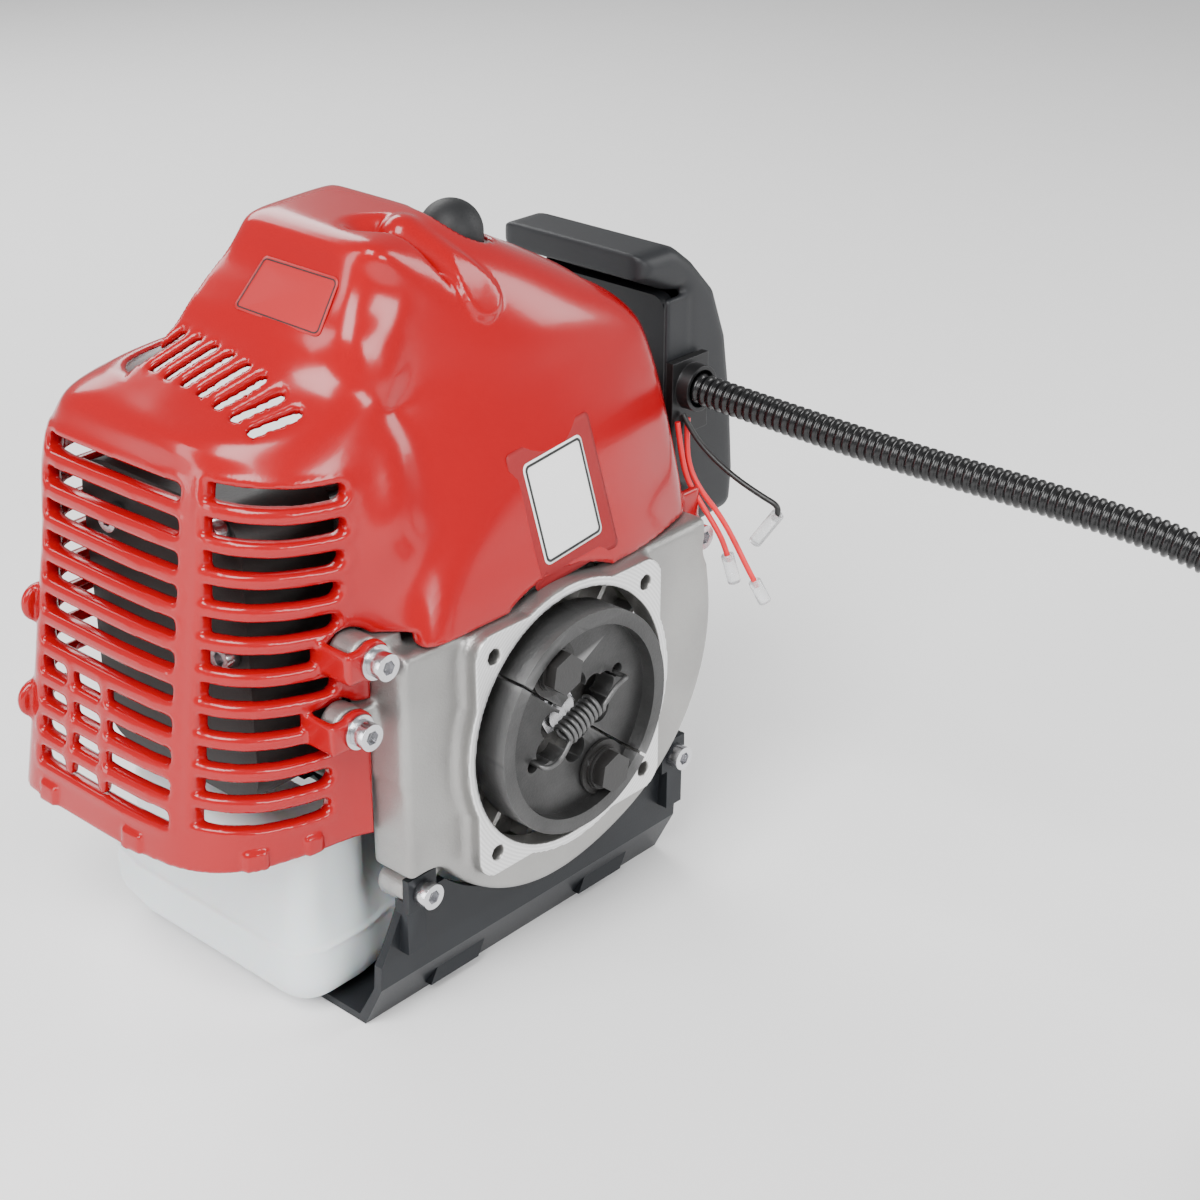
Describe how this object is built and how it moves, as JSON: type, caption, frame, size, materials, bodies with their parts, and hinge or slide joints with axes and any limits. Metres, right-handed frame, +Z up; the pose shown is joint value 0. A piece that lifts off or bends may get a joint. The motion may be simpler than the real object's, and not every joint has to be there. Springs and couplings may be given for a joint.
{
  "type": "vibrator_drive_engine",
  "caption": "Petrol drive engine of a concrete vibrator: two-stroke with red slotted cover, square clutch flange, white tank, stand and throttle conduit",
  "frame": {"origin": "centre of the clutch flange face on the crank axis", "axes": "-Y is the output direction out of the flange, +Z is up, +X is the carburettor side"},
  "size_m": [0.262, 0.601, 0.254],
  "materials": {
    "cast_aluminium": "cast",
    "clutch_steel": "sintered",
    "zinc_steel": "zinc plated",
    "black_steel": "black",
    "machined_steel": "ground",
    "red_plastic": "gloss moulded",
    "black_plastic": "moulded",
    "grey_plastic": "moulded",
    "tank_plastic": "translucent",
    "rubber": "moulded",
    "foam": "open cell",
    "gasket_paper": "pressed",
    "label_film": "blank",
    "conduit_plastic": "corrugated",
    "red_insulation": "wire",
    "black_insulation": "wire",
    "clear_sleeve": "clear"
  },
  "bodies": {
    "engine": {"fan_housing": "cast_aluminium", "crankcase": "cast_aluminium", "crank_bearings": "machined_steel", "oil_seals": "rubber", "gaskets": "gasket_paper", "case_screws": "zinc_steel", "cylinder": "cast_aluminium", "piston": "cast_aluminium", "piston_rings": "machined_steel", "wrist_pin": "machined_steel", "connecting_rod": "machined_steel", "spark_plug": "zinc_steel", "spark_plug_cap": "rubber", "ignition_coil": "black_plastic", "ignition_lead": "rubber", "muffler": "black_steel", "muffler_bolts": "zinc_steel", "engine_cover": "red_plastic", "cover_screws": "zinc_steel", "noise_label": "label_film", "fuel_tank": "tank_plastic", "fuel_filter": "foam", "fuel_line": "rubber", "stand": "black_plastic", "stand_screws": "zinc_steel", "starter_housing": "black_plastic", "starter_spring": "machined_steel", "starter_screws": "zinc_steel", "intake_insulator": "black_plastic", "carburettor": "cast_aluminium", "intake_screws": "zinc_steel", "cable_bracket": "zinc_steel", "cleaner_base": "black_plastic", "filter_foam": "foam", "cleaner_cover": "black_plastic", "conduit": "conduit_plastic", "conduit_coil": "conduit_plastic", "throttle_grip": "black_plastic", "wire_red_long": "red_insulation", "wire_red_short": "red_insulation", "wire_black": "black_insulation", "wire_connectors": "clear_sleeve"},
    "rotor": {"flywheel_fan": "cast_aluminium", "flywheel_nut": "zinc_steel", "crankshaft": "machined_steel", "starter_pawls": "zinc_steel", "clutch_bolts": "black_steel", "clutch_spring": "clutch_steel"},
    "upper_shoe": {"clutch_shoe_upper": "clutch_steel"},
    "lower_shoe": {"clutch_shoe_lower": "clutch_steel"},
    "reel": {"starter_reel": "grey_plastic", "starter_rope": "red_insulation"},
    "pull_handle": {"starter_handle": "black_plastic"},
    "throttle": {"throttle_lever": "zinc_steel"},
    "choke": {"choke_lever": "grey_plastic"},
    "primer": {"primer_bulb": "rubber"},
    "tank_cap": {"fuel_cap": "black_plastic"},
    "knob": {"cleaner_knob": "grey_plastic"},
    "trigger": {"throttle_trigger": "black_plastic"},
    "switch": {"stop_switch": "red_plastic"}
  },
  "joints": [
    {"name": "crank_spin", "type": "hinge", "parent": "engine", "child": "rotor", "pos_m": [0, 0, 0], "axis": [0, 1, 0], "continuous": true},
    {"name": "upper_shoe_swing", "type": "hinge", "parent": "rotor", "child": "upper_shoe", "pos_m": [-0.01129, 0, 0.02264], "axis": [0, -1, 0], "range_deg": [0, 2.5], "stiffness_Nm_per_rad": 2, "springref_deg": -2.86, "deforming": ["clutch_spring"]},
    {"name": "lower_shoe_swing", "type": "hinge", "parent": "rotor", "child": "lower_shoe", "pos_m": [0.01129, 0, -0.02264], "axis": [0, -1, 0], "range_deg": [0, 2.5], "stiffness_Nm_per_rad": 2, "springref_deg": -2.86},
    {"name": "starter_pull", "type": "slide", "parent": "engine", "child": "pull_handle", "axis": [1, 0, 0], "range_m": [0, 0.6], "stiffness_N_per_m": 2, "springref_m": -0.5},
    {"name": "reel_turn", "type": "hinge", "parent": "engine", "child": "reel", "pos_m": [0, 0.088, 0], "axis": [0, -1, 0], "range_deg": [0, 1060]},
    {"name": "throttle_turn", "type": "hinge", "parent": "engine", "child": "throttle", "pos_m": [0.066, 0.05, 0.06], "axis": [0, 0, -1], "range_deg": [0, 60]},
    {"name": "choke_turn", "type": "hinge", "parent": "engine", "child": "choke", "pos_m": [0.085, 0.098, 0.062], "axis": [1, 0, 0], "range_deg": [0, 60]},
    {"name": "primer_press", "type": "slide", "parent": "engine", "child": "primer", "axis": [0, 0, 1], "range_m": [0, 0.004], "stiffness_N_per_m": 500},
    {"name": "fuel_cap_turn", "type": "hinge", "parent": "engine", "child": "tank_cap", "pos_m": [0.076, 0.112, -0.0735], "axis": [1, 0, 0], "range_deg": [0, 270]},
    {"name": "knob_turn", "type": "hinge", "parent": "engine", "child": "knob", "pos_m": [0.118, 0.068, 0.1], "axis": [1, 0, 0], "range_deg": [0, 270]},
    {"name": "trigger_squeeze", "type": "hinge", "parent": "engine", "child": "trigger", "pos_m": [0.125, -0.391, -0.077], "axis": [0, 0, -1], "range_deg": [0, 15], "stiffness_Nm_per_rad": 0.3, "springref_deg": -5.73},
    {"name": "stop_slide", "type": "slide", "parent": "engine", "child": "switch", "axis": [0, -1, 0], "range_m": [0, 0.0036]}
  ],
  "couplings": [
    {"joint": "lower_shoe_swing", "follows": "upper_shoe_swing", "ratio": 1},
    {"joint": "reel_turn", "follows": "starter_pull", "rad_per_m": 30.769},
    {"joint": "throttle_turn", "follows": "trigger_squeeze", "ratio": 4}
  ]
}
